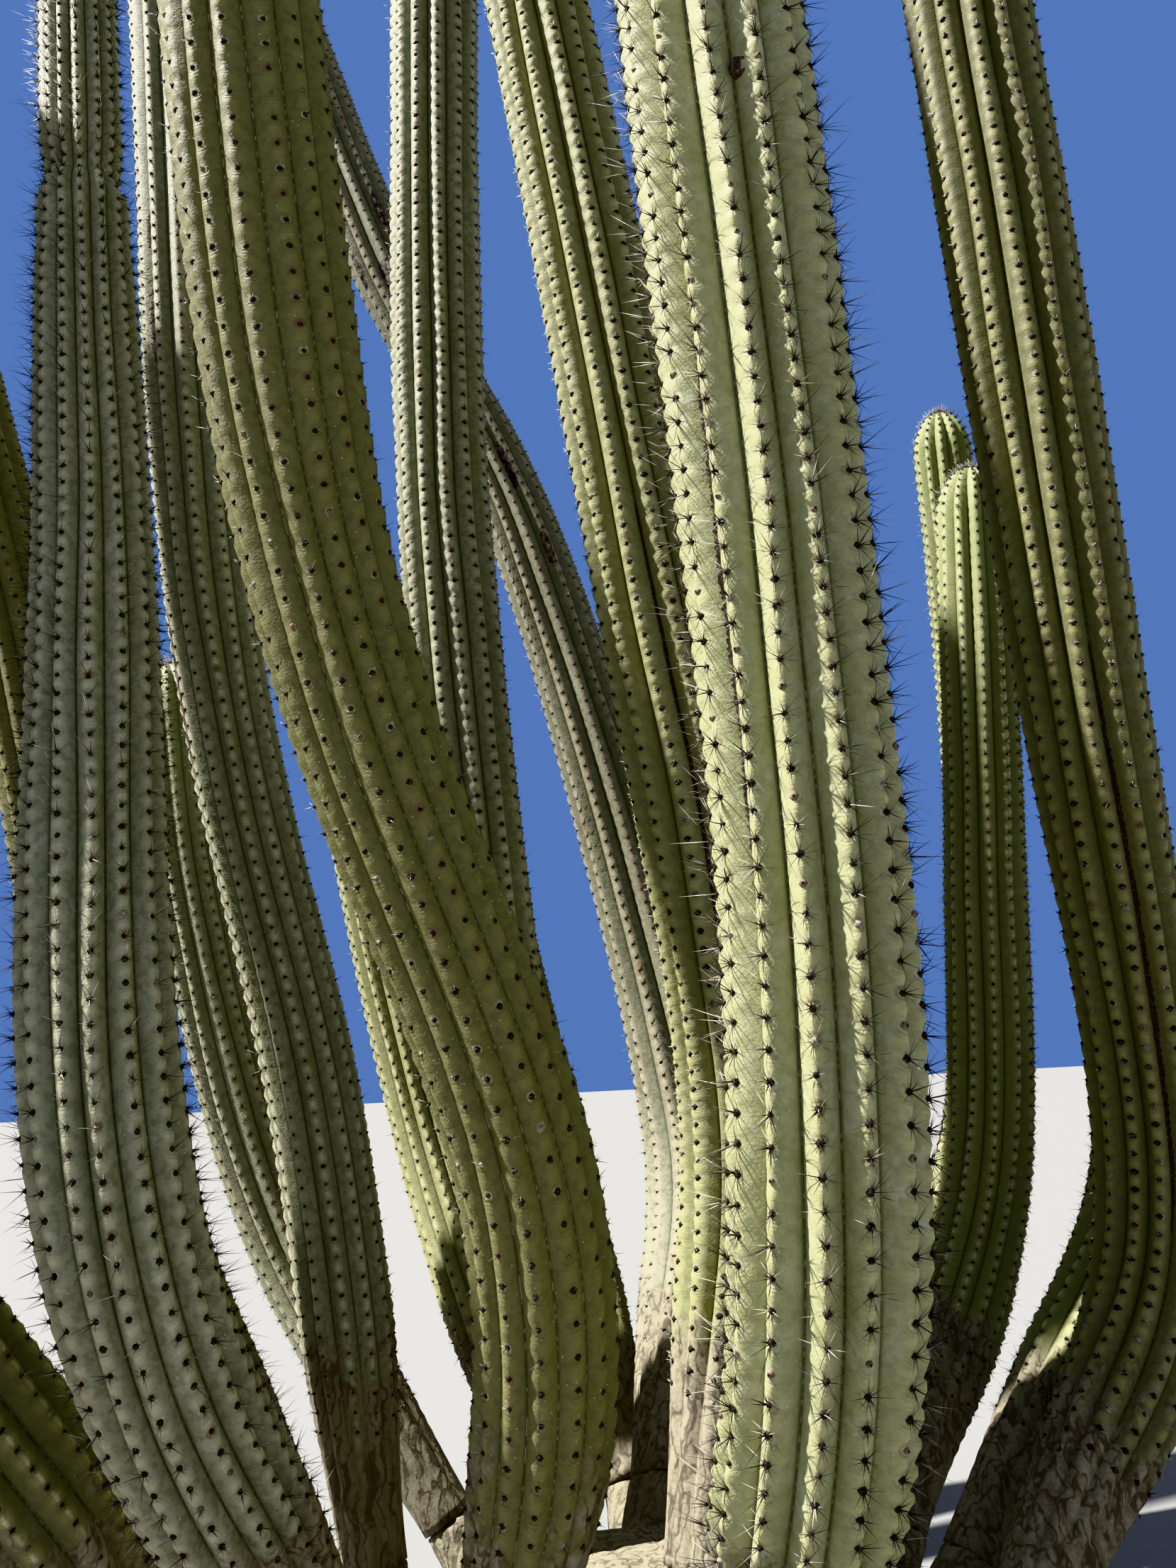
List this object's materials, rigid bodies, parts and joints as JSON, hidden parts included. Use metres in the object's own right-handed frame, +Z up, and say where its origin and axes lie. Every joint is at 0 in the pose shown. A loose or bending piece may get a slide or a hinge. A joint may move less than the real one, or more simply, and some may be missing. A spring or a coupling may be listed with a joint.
{
  "type": "organ pipe cactus",
  "caption": "Columnar desert cactus: tall ribbed green stems with dark spines, rising in a clump from one low woody trunk.",
  "frame": {"origin": "on the ground, in the middle of the trunk's flat cut", "axes": "+Z up along the stems; -Y is the front, the side that faces the camera; +X is to the right from there"},
  "size_m": [2.1254, 1.7094, 4.0003],
  "materials": {
    "bark": "matte",
    "skin": "matte",
    "young_skin": "matte"
  },
  "bodies": {
    "root": {"trunk": "bark", "stem_far_left": "skin", "stem_outer_left": "skin", "stem_left": "skin", "stem_left_behind": "skin", "stem_left_short": "skin", "stem_front_left": "skin", "stem_tallest": "skin", "stem_crossing": "skin", "stem_middle": "skin", "stem_front": "skin", "stem_right_front": "skin", "stem_young_tall": "young_skin", "stem_young_short": "young_skin", "stem_back_left": "skin", "stem_back_middle": "skin", "stem_back": "skin", "stem_right_behind": "skin"}
  },
  "joints": []
}
